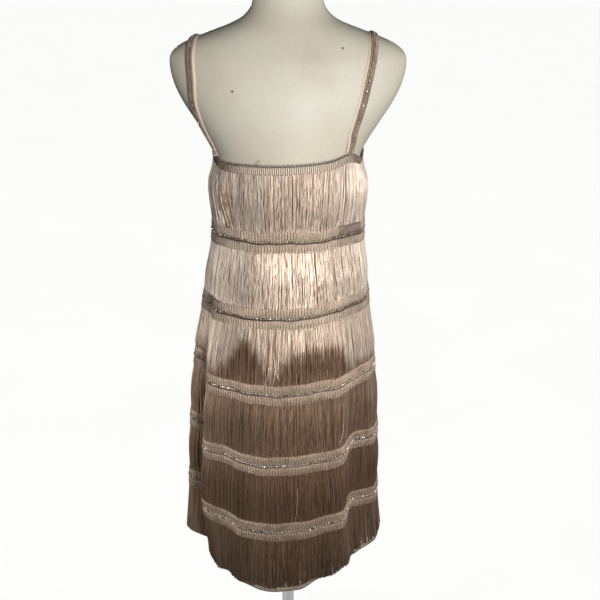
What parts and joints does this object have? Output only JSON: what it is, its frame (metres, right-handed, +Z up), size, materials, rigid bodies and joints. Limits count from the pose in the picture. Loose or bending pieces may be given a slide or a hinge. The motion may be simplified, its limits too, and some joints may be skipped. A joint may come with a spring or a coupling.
{
  "type": "flapper dress on dress form",
  "caption": "Strappy tiered fringe flapper dress with braid rows, worn by a limbless dress form on a round-based pole stand.",
  "frame": {"origin": "centre of the stand base's underside, on the floor", "axes": "+Z up the pole; the back of the dress faces +Y, its front -Y, and the wearer's left is +X"},
  "size_m": [0.4225, 0.3663, 1.462],
  "materials": {
    "form_foam": "matte",
    "base_cloth": "matte",
    "fringe": "satin",
    "gimp": "satin",
    "stand_paint": "satin"
  },
  "bodies": {
    "root": {"back_panel": "base_cloth", "braid_2_back": "gimp", "braid_2_front": "gimp", "braid_3_back": "gimp", "braid_3_front": "gimp", "braid_4_back": "gimp", "braid_4_front": "gimp", "braid_5_back": "gimp", "braid_5_front": "gimp", "braid_6_back": "gimp", "braid_6_front": "gimp", "dress_form": "form_foam", "fringe_1_back": "fringe", "fringe_1_front": "fringe", "fringe_2_back": "fringe", "fringe_2_front": "fringe", "fringe_3_back": "fringe", "fringe_3_front": "fringe", "fringe_4_back": "fringe", "fringe_4_front": "fringe", "fringe_5_back": "fringe", "fringe_5_front": "fringe", "fringe_6_back": "fringe", "fringe_6_front": "fringe", "front_panel": "base_cloth", "neck_braid_back": "gimp", "neck_braid_front": "gimp", "stand_base": "stand_paint", "stand_collar": "stand_paint", "stand_pole": "stand_paint", "strap_left": "gimp", "strap_right": "gimp"}
  },
  "joints": []
}
